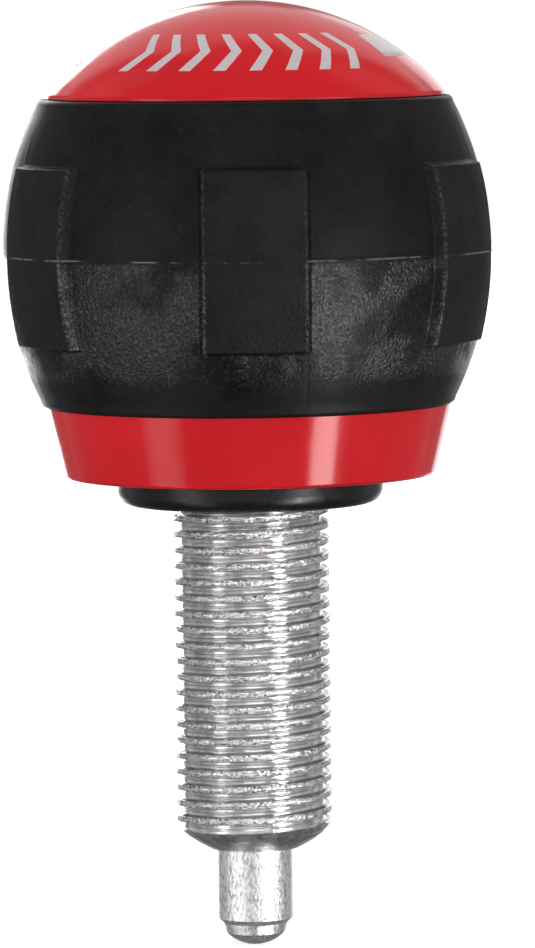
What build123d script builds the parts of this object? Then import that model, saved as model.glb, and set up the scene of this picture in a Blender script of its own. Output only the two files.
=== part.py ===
from build123d import *
from math import cos, radians, sqrt, tan
import os

# A spring-loaded quick release pin for a machine's frame.
# Its threaded steel sleeve screws into the frame until the black hub seats on it. The knob
# turns the hub and the sleeve through a hexagon, and slides up on that hexagon when it is
# pulled, which draws the plunger back into the sleeve against its spring.
# The origin is on the axis, in the plane of the hub's seat face, and +Z runs up through the
# knob. The plunger is at rest, standing out of the sleeve. All sizes are in millimetres.

# Threaded sleeve: a steel tube. Its fine thread is drawn as rings at the thread's pitch.
thread_diameter = 16.0
thread_pitch = 1.6
thread_depth = 0.85             # on the radius
thread_crest = 0.25             # width of the flat left on each crest
thread_angle = 60.0             # between the flanks
thread_start = 0.25             # from the seat face down to the first groove
sleeve_reach = 35.0             # from the seat face to the end of the nose
nose_height = 2.7
nose_bulge = 0.35               # of its rounded side
nose_end_land = 0.32            # of the flat ring round the bore, on the radius
guide_length = 11.0             # narrow bore that guides the plunger, from the nose up
guide_clearance = 0.08          # round the plunger, on the radius
bore_chamfer = 0.15
neck_step = 0.5                 # the neck that the hub is moulded on is this much smaller, all round
neck_flat_depth = 0.6           # of two flats that stop the hub from turning
neck_flats_above_seat = 2.0

# Drive hub: black plastic, moulded on the sleeve.
hub_collar_diameter = 26.9
hub_collar_height = 2.6
hub_collar_lower_round = 1.5
hub_collar_upper_round = 0.3
hub_mouth_clearance = 0.3       # of its countersunk mouth round the thread, on the radius
hub_mouth_depth = 0.8
hub_hexagon = 19.6              # across flats
hub_hexagon_height = 14.0
hub_hexagon_round = 0.8
hub_hexagon_chamfer = 0.5
hub_recess_depth = 3.4          # from the hub's top down to the sleeve's end
hub_recess_clearance = 0.1      # round the bush's flange, on the radius

# Guide bush: closes the sleeve and carries the spring's upper end.
bush_depth = 5.0
bush_flange_inset = 0.1         # inside the neck's flats
bush_flange_height = 1.2
bush_chamfer = 0.4

# Plunger: one turned pin, with a stop collar and a threaded tail.
plunger_diameter = 8.1          # of the guided stretch inside the sleeve
tip_diameter = 7.7              # of the stretch that stands out
pin_reach = 10.0                # how far it stands out of the nose, which is also its travel
tip_shoulder_reach = 0.1        # how far out of the nose the two diameters meet
tip_chamfer_width = 0.5
tip_taper_length = 1.0
tip_taper_width = 0.3
tip_dome_height = 1.3
stop_collar_height = 2.5
stop_collar_clearance = 0.2     # to the chamber's wall, on the radius
tail_diameter = 6.0
tail_above_nut = 1.4
tail_chamfer = 0.6

# Compression spring, closed and ground at both ends.
wire_diameter = 1.1
spring_play = 0.35              # round the plunger, on the radius
spring_clearance = 0.2          # to the chamber's wall, on the radius
active_coils = 6
wire_sides = 8                  # the wire is drawn with flat sides
end_coil_pitch_ratio = 1.08     # the closed coils' pitch, in wire diameters
ground_depth = 0.4              # how much of the wire is ground away at its ends

# Knob core: one red moulding with a tapered skirt and a barrel that carries the grip.
knob_gap = 0.25                 # from the hub's collar up to the skirt
skirt_height = 7.15
skirt_taper_angle = 13.7
skirt_lower_round = 0.4
skirt_floor = 2.35
barrel_wall = 2.6
socket_clearance = 0.2          # round the hub's hexagon, on each flat
socket_wall = 1.6               # outside the hexagon's corners
socket_headroom = 2.0           # from the hub's top up to the web
web_thickness = 4.0
tail_clearance = 0.1
rib_count = 6
first_rib_angle = -60.0         # between two pads
rib_thickness = 1.6
rib_gusset_height = 7.6
rib_gusset_start_radius = 8.5
key_width = 4.0
key_height = 1.0
key_short_of_top = 5.0

# Fasteners on the plunger's tail.
washer_diameter = 12.0
washer_bore_clearance = 0.2
washer_thickness = 1.6
lock_washer_diameter = 11.8
lock_washer_thickness = 1.6
lock_washer_split = 0.8
lock_washer_split_angle = 20.0
nut_across_flats = 10.0
nut_height = 5.0
nut_bore_chamfer = 0.4
nut_corner_angle = 30.0

# Grip sleeve: black rubber, barrel-shaped, with raised pads.
grip_height = 30.9
grip_diameter = 48.9            # at its widest, between the pads
grip_arc_radius = 33.0          # of the outline
grip_end_wall = 2.3             # its thickness at the two ends
grip_overhang = 0.15            # past the skirt's upper edge, all round
grip_edge_round = 0.6
pad_count = 6
first_pad_angle = -90.0         # the first pad faces -Y
pad_height = 1.0
pad_length = 18.2
pad_width = 11.0                # at the foot, the same all along
pad_slope_width = 0.7           # of the sloped sides
pad_foot_wall = 0.08            # what the slopes leave upright at the foot
pad_end_round = 0.3

# Dome cap: a red shell that snaps into the barrel and holds the grip down.
cap_gap = 0.1                   # over the grip's upper face
cap_rim_inset = 0.5             # inside the grip's end
cap_rim_land = 0.33
cap_rim_round = 0.4             # where the dome meets its rim
cap_dome_radius = 26.5
cap_wall = 2.4
snap_clearance = 0.15           # of the fingers in the barrel, on the radius
snap_wall = 1.6
snap_length = 3.4
snap_bead = 0.5
snap_bead_height = 1.2
snap_bead_above_end = 0.7
snap_groove_play = 0.1
snap_finger_count = 6
snap_slot_width = 3.0

# Levels along the axis, from the nose up.
sleeve_end_z = -sleeve_reach
shoulder_z = sleeve_end_z + guide_length
stop_collar_top_z = shoulder_z + stop_collar_height
hub_top_z = hub_collar_height + hub_hexagon_height
sleeve_top_z = hub_top_z - hub_recess_depth
bush_end_z = sleeve_top_z - bush_depth
knob_bottom_z = hub_collar_height + knob_gap
skirt_floor_z = knob_bottom_z + skirt_floor
skirt_top_z = knob_bottom_z + skirt_height
web_bottom_z = hub_top_z + socket_headroom
web_top_z = web_bottom_z + web_thickness
washer_top_z = web_top_z + washer_thickness
lock_washer_top_z = washer_top_z + lock_washer_thickness
nut_top_z = lock_washer_top_z + nut_height
tail_top_z = nut_top_z + tail_above_nut
equator_z = skirt_top_z + grip_height / 2
grip_top_z = skirt_top_z + grip_height
cap_seat_z = grip_top_z + cap_gap
snap_end_z = cap_seat_z - snap_length
snap_bead_z = snap_end_z + snap_bead_above_end

# Radii that more than one piece uses.
thread_radius = thread_diameter / 2
neck_radius = thread_radius - neck_step
neck_flat_radius = neck_radius - neck_flat_depth
bush_flange_radius = neck_flat_radius - bush_flange_inset
plunger_radius = plunger_diameter / 2
guide_radius = plunger_radius + guide_clearance
nose_end_radius = guide_radius + bore_chamfer + nose_end_land
chamber_radius = plunger_radius + spring_play + wire_diameter + spring_clearance
tail_radius = tail_diameter / 2
socket_hexagon = hub_hexagon + 2 * socket_clearance
socket_outer_radius = socket_hexagon / 2 / cos(radians(30)) + socket_wall
grip_radius = grip_diameter / 2
grip_end_radius = grip_radius - grip_arc_radius + sqrt(grip_arc_radius**2 - (grip_height / 2) ** 2)
barrel_radius = grip_end_radius - grip_end_wall
barrel_inner_radius = barrel_radius - barrel_wall
skirt_upper_radius = grip_end_radius - grip_overhang
skirt_lower_radius = skirt_upper_radius - skirt_height * tan(radians(skirt_taper_angle))
cap_rim_radius = grip_end_radius - cap_rim_inset
snap_outer_radius = barrel_inner_radius - snap_clearance
pad_sector = 360 / pad_count     # the room that one pad is cut from, round the axis
overlap = 0.2                   # how far a feature reaches into the body that it is fused to
past = 1.0                      # how far a cutter reaches past what it cuts


def turned(*lines, angle=360):
    # A solid of revolution about the axis, from lines drawn with X outward and Y upward.
    edges = [edge for line in lines for edge in line.edges()]
    return revolve(Plane.XZ * make_face(edges), Axis.Z, angle)


def lathed(*corners):
    # The same from corner points of (radius, height).
    return turned(Polyline(*corners, close=True))


def disc(radius, low, high):
    return Pos(0, 0, low) * Cylinder(radius, high - low, align=(Align.CENTER, Align.CENTER, Align.MIN))


def hexagon(across, low, high, corner_round=0.0):
    outline = RegularPolygon(across / 2, 6, major_radius=False)
    if corner_round > 0:
        outline = fillet(outline.vertices(), corner_round)
    return Pos(0, 0, low) * extrude(outline, high - low)


def ball_radius(radius, height):
    # Of the ball that a dome of this radius and height is cut from.
    return (radius**2 + height**2) / (2 * height)


def ring_of(count, shape, first_angle):
    return [Rot(0, 0, first_angle + 360 * i / count) * shape for i in range(count)]


def thread_grooves():
    # One cutter for each turn that fits between the seat face and the nose.
    mouth = thread_pitch - thread_crest
    flank = thread_depth * tan(radians(thread_angle / 2))
    groove = lathed(
        (thread_radius + past, 0),
        (thread_radius, 0),
        (thread_radius - thread_depth, -flank),
        (thread_radius - thread_depth, flank - mouth),
        (thread_radius, -mouth),
        (thread_radius + past, -mouth),
    )
    room = sleeve_reach - nose_height - thread_start
    return [Pos(0, 0, -thread_start - i * thread_pitch) * groove for i in range(int(room / thread_pitch))]


def sleeve_blank():
    # The sleeve's outside, which the hub is moulded round.
    nose_end = (nose_end_radius, sleeve_end_z)
    nose_top = (thread_radius, sleeve_end_z + nose_height)
    nose = SagittaArc(nose_end, nose_top, -nose_bulge)
    rest = Polyline(
        nose_top,
        (thread_radius, 0),
        (neck_radius, 0),
        (neck_radius, sleeve_top_z),
        (0, sleeve_top_z),
        (0, sleeve_end_z),
        nose_end,
    )
    blank = turned(nose, rest)
    flat = Pos(neck_flat_radius, 0, neck_flats_above_seat) * Box(
        thread_radius, thread_diameter, sleeve_top_z - neck_flats_above_seat + past,
        align=(Align.MIN, Align.CENTER, Align.MIN))
    for side in ring_of(2, flat, 0):
        blank -= side
    return blank


def threaded_sleeve():
    bores = lathed(
        (0, sleeve_end_z - past),
        (guide_radius + bore_chamfer + past, sleeve_end_z - past),
        (guide_radius, sleeve_end_z + bore_chamfer),
        (guide_radius, shoulder_z),
        (chamber_radius, shoulder_z),
        (chamber_radius, sleeve_top_z + past),
        (0, sleeve_top_z + past),
    )
    return sleeve_blank() - bores - thread_grooves()


def drive_hub():
    collar = disc(hub_collar_diameter / 2, 0, hub_collar_height)
    rims = collar.edges().filter_by(GeomType.CIRCLE).sort_by(Axis.Z)
    collar = fillet(rims[0], hub_collar_lower_round)
    rims = collar.edges().filter_by(GeomType.CIRCLE).sort_by(Axis.Z)
    collar = fillet(rims[-1], hub_collar_upper_round)
    drive = hexagon(hub_hexagon, hub_collar_height - overlap, hub_top_z, hub_hexagon_round)
    drive = chamfer(drive.faces().sort_by(Axis.Z)[-1].edges(), hub_hexagon_chamfer)
    recess = disc(bush_flange_radius + hub_recess_clearance, sleeve_top_z, hub_top_z + past)
    mouth_radius = thread_radius + hub_mouth_clearance
    mouth = lathed(
        (0, -past),
        (mouth_radius, -past),
        (mouth_radius, 0),
        (neck_radius, hub_mouth_depth),
        (0, hub_mouth_depth),
    )
    return collar + drive - sleeve_blank() - recess - mouth


def guide_bush():
    return lathed(
        (guide_radius, bush_end_z),
        (chamber_radius - bush_chamfer, bush_end_z),
        (chamber_radius, bush_end_z + bush_chamfer),
        (chamber_radius, sleeve_top_z),
        (bush_flange_radius, sleeve_top_z),
        (bush_flange_radius, sleeve_top_z + bush_flange_height),
        (guide_radius, sleeve_top_z + bush_flange_height),
    )


def plunger_pin():
    # The point has a chamfer, a slight taper and a domed end.
    tip_radius = tip_diameter / 2
    taper_radius = tip_radius - tip_chamfer_width
    dome_radius = taper_radius - tip_taper_width
    tip_z = sleeve_end_z - pin_reach
    dome_z = tip_z + tip_dome_height
    taper_z = dome_z + tip_taper_length
    tip_shoulder_z = sleeve_end_z - tip_shoulder_reach
    collar_radius = chamber_radius - stop_collar_clearance
    dome = RadiusArc((0, tip_z), (dome_radius, dome_z), -ball_radius(dome_radius, tip_dome_height))
    rest = Polyline(
        (dome_radius, dome_z),
        (taper_radius, taper_z),
        (tip_radius, taper_z + tip_chamfer_width),
        (tip_radius, tip_shoulder_z),
        (plunger_radius, tip_shoulder_z),
        (plunger_radius, shoulder_z),
        (collar_radius, shoulder_z),
        (collar_radius, stop_collar_top_z),
        (plunger_radius, stop_collar_top_z),
        (plunger_radius, web_bottom_z),
        (tail_radius, web_bottom_z),
        (tail_radius, tail_top_z - tail_chamfer),
        (tail_radius - tail_chamfer, tail_top_z),
        (0, tail_top_z),
        (0, tip_z),
    )
    return turned(dome, rest)


def coil(turns, pitch, start_z):
    # Wire along a helix that starts over +X.
    mean_radius = chamber_radius - spring_clearance - wire_diameter / 2
    path = Pos(0, 0, start_z) * Helix(pitch, turns * pitch, mean_radius)
    start = Plane(origin=(mean_radius, 0, start_z), x_dir=(1, 0, 0), z_dir=(0, 1, 0))
    return sweep(start * RegularPolygon(wire_diameter / 2, wire_sides), path=path, is_frenet=True)


def plunger_spring():
    end_pitch = wire_diameter * end_coil_pitch_ratio
    first_z = stop_collar_top_z + wire_diameter / 2 - ground_depth
    last_z = bush_end_z - wire_diameter / 2 + ground_depth
    active_pitch = (last_z - first_z - 2 * end_pitch) / active_coils
    wire = coil(1, end_pitch, first_z)
    wire += coil(active_coils, active_pitch, first_z + end_pitch)
    wire += coil(1, end_pitch, last_z - end_pitch)
    ground_low = disc(thread_radius, stop_collar_top_z - wire_diameter, stop_collar_top_z)
    ground_high = disc(thread_radius, bush_end_z, bush_end_z + wire_diameter)
    return wire - ground_low - ground_high


def grip_key():
    # A straight key on the barrel over +X, under a pad, that stops the grip from turning.
    return Pos(barrel_radius - overlap, 0, skirt_top_z) * Box(
        key_height + overlap, key_width, grip_height - key_short_of_top,
        align=(Align.MIN, Align.CENTER, Align.MIN))


def barrel_rib():
    # A rib from the socket to the barrel over +X, with a gusset that runs up above the web.
    outer_radius = barrel_inner_radius + overlap
    inner_radius = socket_outer_radius - overlap
    outline = Polyline(
        (inner_radius, skirt_floor_z - overlap),
        (outer_radius, skirt_floor_z - overlap),
        (outer_radius, web_top_z + rib_gusset_height),
        (rib_gusset_start_radius, web_top_z),
        (rib_gusset_start_radius, web_top_z - overlap),
        (inner_radius, web_top_z - overlap),
        close=True,
    )
    return extrude(Plane.XZ * make_face(outline), rib_thickness / 2, both=True)


def knob_core():
    groove_radius = snap_outer_radius + snap_bead + snap_groove_play
    groove_half = snap_bead_height / 2 + snap_groove_play
    body = lathed(
        (tail_radius + tail_clearance, knob_bottom_z),
        (skirt_lower_radius, knob_bottom_z),
        (skirt_upper_radius, skirt_top_z),
        (barrel_radius, skirt_top_z),
        (barrel_radius, cap_seat_z),
        (barrel_inner_radius, cap_seat_z),
        (barrel_inner_radius, snap_bead_z + groove_half),
        (groove_radius, snap_bead_z),
        (barrel_inner_radius, snap_bead_z - groove_half),
        (barrel_inner_radius, skirt_floor_z),
        (socket_outer_radius, skirt_floor_z),
        (socket_outer_radius, web_top_z),
        (tail_radius + tail_clearance, web_top_z),
    )
    rim = body.faces().sort_by(Axis.Z)[0].edges().sort_by(SortBy.RADIUS)[-1]
    body = fillet(rim, skirt_lower_round)
    body -= hexagon(socket_hexagon, knob_bottom_z - past, web_bottom_z, hub_hexagon_round)
    for rib in ring_of(rib_count, barrel_rib(), first_rib_angle):
        body += rib
    for key in ring_of(pad_count, grip_key(), first_pad_angle):
        body += key
    return body


def barrel_arc(low, high, extra=0.0):
    # The grip's outline between two heights, moved out by extra.
    reach = grip_arc_radius + extra

    def point(height):
        return (grip_radius - grip_arc_radius + sqrt(reach**2 - (height - equator_z) ** 2), height)

    return ThreePointArc(point(low), point((low + high) / 2), point(high))


def grip_pad():
    # One raised pad over +X, of one width all along, with sloped sides and rounded ends.
    low = equator_z - pad_length / 2
    high = equator_z + pad_length / 2
    crown = barrel_arc(low, high, pad_height)
    root = Polyline(crown @ 1, (grip_end_radius, high), (grip_end_radius, low), crown @ 0)
    belt = Rot(0, 0, -pad_sector / 2) * turned(crown, root, angle=pad_sector)
    pad = belt & (Pos(0, 0, equator_z) * Box(grip_diameter + 4 * pad_height, pad_width, 2 * pad_length))
    top = pad.faces().sort_by(Axis.X)[-1]
    sides = top.edges().sort_by(Axis.Y)
    pad = chamfer([sides[0], sides[-1]], pad_slope_width, pad_height - pad_foot_wall, reference=top)
    ends = pad.faces().sort_by(Axis.X)[-1].edges().sort_by(Axis.Z)
    return fillet([ends[0], ends[-1]], pad_end_round)


def grip_sleeve():
    side = barrel_arc(skirt_top_z, grip_top_z)
    bore = Polyline(side @ 1, (barrel_radius, grip_top_z), (barrel_radius, skirt_top_z), side @ 0)
    sleeve = turned(side, bore)
    rims = sleeve.edges().filter_by(GeomType.CIRCLE).sort_by(SortBy.RADIUS)[-2:]
    sleeve = fillet(rims, grip_edge_round)
    for pad in ring_of(pad_count, grip_pad(), first_pad_angle):
        sleeve += pad
    for key in ring_of(pad_count, grip_key(), first_pad_angle):
        sleeve -= key
    return sleeve


def dome_cap():
    rim_z = cap_seat_z + cap_rim_land
    centre_z = rim_z - sqrt(cap_dome_radius**2 - cap_rim_radius**2)
    inner_ball = cap_dome_radius - cap_wall
    inner_rim_radius = sqrt(inner_ball**2 - (cap_seat_z - centre_z) ** 2)

    def on_ball(ball, radius):
        return (radius, centre_z + sqrt(ball**2 - radius**2))

    outside = RadiusArc(on_ball(cap_dome_radius, 0), (cap_rim_radius, rim_z), cap_dome_radius)
    inside = RadiusArc((inner_rim_radius, cap_seat_z), on_ball(inner_ball, 0), -inner_ball)
    land = Polyline(outside @ 1, (cap_rim_radius, cap_seat_z), inside @ 0)
    section = make_face([outside, *land.edges(), inside, Line(inside @ 1, outside @ 0)])
    rim = section.vertices().sort_by_distance((cap_rim_radius, rim_z, 0))[0]
    shell = revolve(Plane.XZ * fillet(rim, cap_rim_round), Axis.Z)

    snap_inner_radius = snap_outer_radius - snap_wall
    bead_half = snap_bead_height / 2
    fingers = lathed(
        (snap_inner_radius, snap_end_z),
        (snap_outer_radius - snap_bead, snap_end_z),
        (snap_outer_radius, snap_bead_z - bead_half),
        (snap_outer_radius + snap_bead, snap_bead_z),
        (snap_outer_radius, snap_bead_z + bead_half),
        (snap_outer_radius, on_ball(inner_ball, snap_outer_radius)[1] + overlap),
        (snap_inner_radius, on_ball(inner_ball, snap_inner_radius)[1] + overlap),
    )
    slot = Pos(snap_inner_radius - past, 0, snap_end_z - past) * Box(
        snap_wall + snap_bead + 2 * past, snap_slot_width, snap_length + past,
        align=(Align.MIN, Align.CENTER, Align.MIN))
    for gap in ring_of(snap_finger_count, slot, first_rib_angle):
        fingers -= gap
    return shell + fingers


def plain_washer():
    bore = disc(tail_radius + washer_bore_clearance, web_top_z - past, washer_top_z + past)
    return disc(washer_diameter / 2, web_top_z, washer_top_z) - bore


def lock_washer():
    bore = disc(tail_radius + washer_bore_clearance, washer_top_z - past, lock_washer_top_z + past)
    middle_z = (washer_top_z + lock_washer_top_z) / 2
    split = Pos(0, 0, middle_z) * Rot(lock_washer_split_angle, 0, 0) * Box(
        lock_washer_diameter, lock_washer_split, lock_washer_thickness * 2,
        align=(Align.MIN, Align.CENTER, Align.CENTER))
    return disc(lock_washer_diameter / 2, washer_top_z, lock_washer_top_z) - bore - split


def hex_nut():
    corner_radius = nut_across_flats / 2 / cos(radians(30))
    fall = (corner_radius - nut_across_flats / 2) * tan(radians(nut_corner_angle))
    flank_radius = nut_across_flats / 2
    blank = lathed(
        (0, lock_washer_top_z),
        (flank_radius, lock_washer_top_z),
        (corner_radius, lock_washer_top_z + fall),
        (corner_radius, nut_top_z - fall),
        (flank_radius, nut_top_z),
        (0, nut_top_z),
    )
    bore = lathed(
        (0, lock_washer_top_z - past),
        (tail_radius + nut_bore_chamfer + past, lock_washer_top_z - past),
        (tail_radius, lock_washer_top_z + nut_bore_chamfer),
        (tail_radius, nut_top_z - nut_bore_chamfer),
        (tail_radius + nut_bore_chamfer + past, nut_top_z + past),
        (0, nut_top_z + past),
    )
    return (blank & hexagon(nut_across_flats, lock_washer_top_z, nut_top_z)) - bore


pieces = {
    "threaded_sleeve": threaded_sleeve,
    "drive_hub": drive_hub,
    "guide_bush": guide_bush,
    "plunger_pin": plunger_pin,
    "plunger_spring": plunger_spring,
    "knob_core": knob_core,
    "grip_sleeve": grip_sleeve,
    "dome_cap": dome_cap,
    "plain_washer": plain_washer,
    "lock_washer": lock_washer,
    "hex_nut": hex_nut,
}

os.makedirs("parts", exist_ok=True)
for name, make in pieces.items():
    export_step(make(), f"parts/{name}.step")
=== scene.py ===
import bpy
import bmesh
from math import asin, atan2, ceil, cos, degrees, hypot, pi, radians, sin, sqrt
from mathutils import Matrix, Quaternion, Vector, noise


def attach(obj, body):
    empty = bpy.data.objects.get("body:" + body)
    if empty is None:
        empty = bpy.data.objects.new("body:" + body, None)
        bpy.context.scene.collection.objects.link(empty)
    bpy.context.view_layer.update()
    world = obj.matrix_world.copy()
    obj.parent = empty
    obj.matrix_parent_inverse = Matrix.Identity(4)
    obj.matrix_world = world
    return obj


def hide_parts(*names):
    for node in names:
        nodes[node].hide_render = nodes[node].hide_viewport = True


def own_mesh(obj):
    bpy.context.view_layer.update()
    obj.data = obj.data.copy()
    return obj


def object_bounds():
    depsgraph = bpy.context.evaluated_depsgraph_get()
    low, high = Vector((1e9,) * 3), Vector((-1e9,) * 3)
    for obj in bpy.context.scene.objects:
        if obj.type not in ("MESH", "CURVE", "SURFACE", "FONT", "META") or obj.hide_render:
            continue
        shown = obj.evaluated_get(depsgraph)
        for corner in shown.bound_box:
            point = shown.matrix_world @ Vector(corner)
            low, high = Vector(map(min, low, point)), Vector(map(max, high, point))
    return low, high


# Quick release pin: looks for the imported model.
# Metres, +Z up through the knob, the hub's seat face at z = 0, the first pad faces -Y.

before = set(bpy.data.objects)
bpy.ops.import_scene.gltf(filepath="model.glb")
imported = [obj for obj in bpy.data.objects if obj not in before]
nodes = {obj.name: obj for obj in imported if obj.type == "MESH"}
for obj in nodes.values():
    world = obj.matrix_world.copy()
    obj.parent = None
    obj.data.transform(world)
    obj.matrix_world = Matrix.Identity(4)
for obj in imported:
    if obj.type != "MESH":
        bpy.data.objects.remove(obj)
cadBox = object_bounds()
mm = 0.001
scene = bpy.context.scene
print("frame loaded:", len(nodes), "nodes")


# Camera

camera = {
    "frameHeight": 948,
    "sensorWidth": 36,           # lies along the picture's longer side
    "distance": 640 * mm,        # from the pin's axis
    "height": 56.1 * mm,
    "turned": -1.9,              # degrees to the left of the first pad
    "aimHeight": 2.84 * mm,
    "aimRight": 1.82 * mm,       # the pin stands a little left of the middle
    "roll": 0.72,                # degrees, the knob leans left in the picture
    "focalPixels": 6361,
    "seesFrom": 0.01,            # metres, as is the next
    "seesTo": 50,
}


def addCamera():
    data = bpy.data.cameras.new("camera")
    data.sensor_width = camera["sensorWidth"]
    data.lens = camera["focalPixels"] * camera["sensorWidth"] / camera["frameHeight"]
    data.clip_start = camera["seesFrom"]
    data.clip_end = camera["seesTo"]
    turn = radians(camera["turned"])
    right = Vector((cos(turn), sin(turn), 0))
    stand = Vector((sin(turn), -cos(turn), 0)) * camera["distance"] + Vector((0, 0, camera["height"]))
    target = right * camera["aimRight"] + Vector((0, 0, camera["aimHeight"]))
    piece = bpy.data.objects.new("camera", data)
    scene.collection.objects.link(piece)
    piece.location = stand
    piece.rotation_mode = "QUATERNION"
    aim = (target - stand).to_track_quat("-Z", "Y")
    piece.rotation_quaternion = aim @ Quaternion((0, 0, 1), radians(-camera["roll"]))
    scene.camera = piece


addCamera()
scene.view_settings.view_transform = "Standard"
print("camera set")


# Node helpers

def addNode(tree, kind, inputs=None, **settings):
    node = tree.nodes.new(kind)
    for name, value in settings.items():
        setattr(node, name, value)
    for socket, value in (inputs or {}).items():
        if hasattr(value, "links"):
            tree.links.new(value, node.inputs[socket])
        else:
            node.inputs[socket].default_value = value
    return node


def newMaterial(name, color, **values):
    material = bpy.data.materials.new(name)
    material.use_nodes = True
    shader = material.node_tree.nodes["Principled BSDF"]
    shader.inputs["Base Color"].default_value = (*color, 1)
    for socket, value in values.items():
        shader.inputs[socket.replace("_", " ")].default_value = value
    material.diffuse_color = (*color, 1)
    return material, material.node_tree, shader


def place(tree, scale=(1, 1, 1)):
    # Object coordinates in millimetres, stretched by scale.
    coordinates = addNode(tree, "ShaderNodeTexCoord")
    factors = [s / mm for s in scale]
    inputs = {"Vector": coordinates.outputs["Object"], "Scale": factors}
    return addNode(tree, "ShaderNodeMapping", inputs).outputs[0]


def readAttribute(tree, name):
    return addNode(tree, "ShaderNodeAttribute", attribute_name=name).outputs["Fac"]


def noiseAt(tree, vector, scale, detail=3.0, rough=0.5):
    inputs = {"Vector": vector, "Scale": scale, "Detail": detail, "Roughness": rough}
    return addNode(tree, "ShaderNodeTexNoise", inputs).outputs[0]


def remap(tree, value, low, high, outLow, outHigh):
    return addNode(tree, "ShaderNodeMapRange", {0: value, 1: low, 2: high, 3: outLow, 4: outHigh}).outputs[0]


def calc(tree, operation, a, b=0.0):
    return addNode(tree, "ShaderNodeMath", {0: a, 1: b}, operation=operation).outputs[0]


def product(tree, a, b):
    return calc(tree, "MULTIPLY", a, b)


def remainder(tree, share):
    return calc(tree, "SUBTRACT", 1.0, share)


def mixColor(tree, factor, a, b):
    node = addNode(tree, "ShaderNodeMix", data_type="RGBA")
    tree.links.new(factor, node.inputs[0])
    for index, value in ((6, a), (7, b)):
        if hasattr(value, "links"):
            tree.links.new(value, node.inputs[index])
        else:
            node.inputs[index].default_value = (*value, 1)
    return node.outputs[2]


def addBump(tree, height, depth, strength=1.0, before=None):
    inputs = {"Height": height, "Distance": depth, "Strength": strength}
    if before is not None:
        inputs["Normal"] = before
    return addNode(tree, "ShaderNodeBump", inputs).outputs[0]


def connect(tree, shader, **values):
    for socket, value in values.items():
        tree.links.new(value, shader.inputs[socket.replace("_", " ")])


# Materials
# A pattern is a noise's cycles a millimetre, detail and roughness. A stretch is along X, Y and Z.
# A range is the noise's low and high level, and what they become. A relief is a depth and a strength.

red = {
    "color": (0.76, 0.009, 0.016),
    "dark": (0.74, 0.011, 0.018),
    "light": (0.82, 0.015, 0.024),
    "specular": 0.3,
    "flowPattern": (0.09, 2),
    "flowRange": (0.35, 0.65, 0, 1),
    "roughness": 0.12,
    "glossPattern": (0.6, 4),
    "glossRange": (0.3, 0.7, 0.08, 0.17),
    "skinPattern": (0.35, 2),
    "skinRelief": (0.03 * mm, 0.5),
    "porePattern": (9, 2),
    "poreRelief": (0.001 * mm, 0.4),
}


def redPlastic():
    # Glossy moulded plastic, with a faint flow in its colour and a slightly uneven skin.
    r = red
    values = {"Roughness": r["roughness"], "Specular_IOR_Level": r["specular"]}
    material, tree, shader = newMaterial("redPlastic", r["color"], **values)
    here = place(tree)
    flow = remap(tree, noiseAt(tree, here, *r["flowPattern"]), *r["flowRange"])
    gloss = remap(tree, noiseAt(tree, here, *r["glossPattern"]), *r["glossRange"])
    skin = addBump(tree, noiseAt(tree, here, *r["skinPattern"]), *r["skinRelief"])
    pores = addBump(tree, noiseAt(tree, here, *r["porePattern"]), *r["poreRelief"], skin)
    base = mixColor(tree, flow, r["dark"], r["light"])
    connect(tree, shader, Base_Color=base, Roughness=gloss, Normal=pores)
    return material


rubber = {
    "color": (0.013, 0.013, 0.0135),
    "roughness": 0.5,
    "cloudPattern": (0.22, 4, 0.6),
    "patchPattern": (0.17, 4, 0.6),      # where the rough zone is roughest
    "patchRange": (0.40, 0.54, 0.4, 1),
    "lumpPattern": (1.1, 4, 0.65),
    "finePattern": (3.3, 2, 0.6),
    "dark": (0.008, 0.008, 0.0082),
    "bloom": (0.015, 0.015, 0.0147),
    "bloomRange": (0.35, 0.68, 0, 1),
    # painted sheen: the pads are coloured lighter
    "crownColor": (0.0185, 0.018, 0.017),
    "crownRange": (0.4, 0.6, 0.3, 1),
    # painted shade in the hollows of the rough zone's grain
    "hollowColor": (0.002, 0.002, 0.002),
    "hollowRange": (0.38, 0.50, 1.0, 0),
    # painted glints on the high points of the rough zone's grain
    "dotColor": (0.07, 0.07, 0.07),
    "dotRange": (0.54, 0.68, 0, 1),
    # painted highlight along the pads' edges
    "edgeColor": (0.16, 0.16, 0.16),
    "edgeRange": (0.48, 0.60, 0.1, 1),
    # painted highlight along the parting line
    "flashColor": (0.22, 0.22, 0.22),
    "flashPattern": (0.3, 3, 0.6),
    "flashRange": (0.47, 0.56, 0.05, 1),
    "specularRange": (0.4, 1, 0.12, 0.44),
    "satinRange": (0.35, 0.7, 0.40, 0.52),
    "coarseGloss": 0.26,                 # how much smoother the rough zone's own grains are
    "lumpRelief": (0.06 * mm, 0.6),
    "leatherPattern": (2.2, 3, 0.6),
    "leatherDepth": 0.22 * mm,
    "grainDepth": 0.17 * mm,
    "grainRange": (0, 1, 0.02, 1.0),
}


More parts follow.
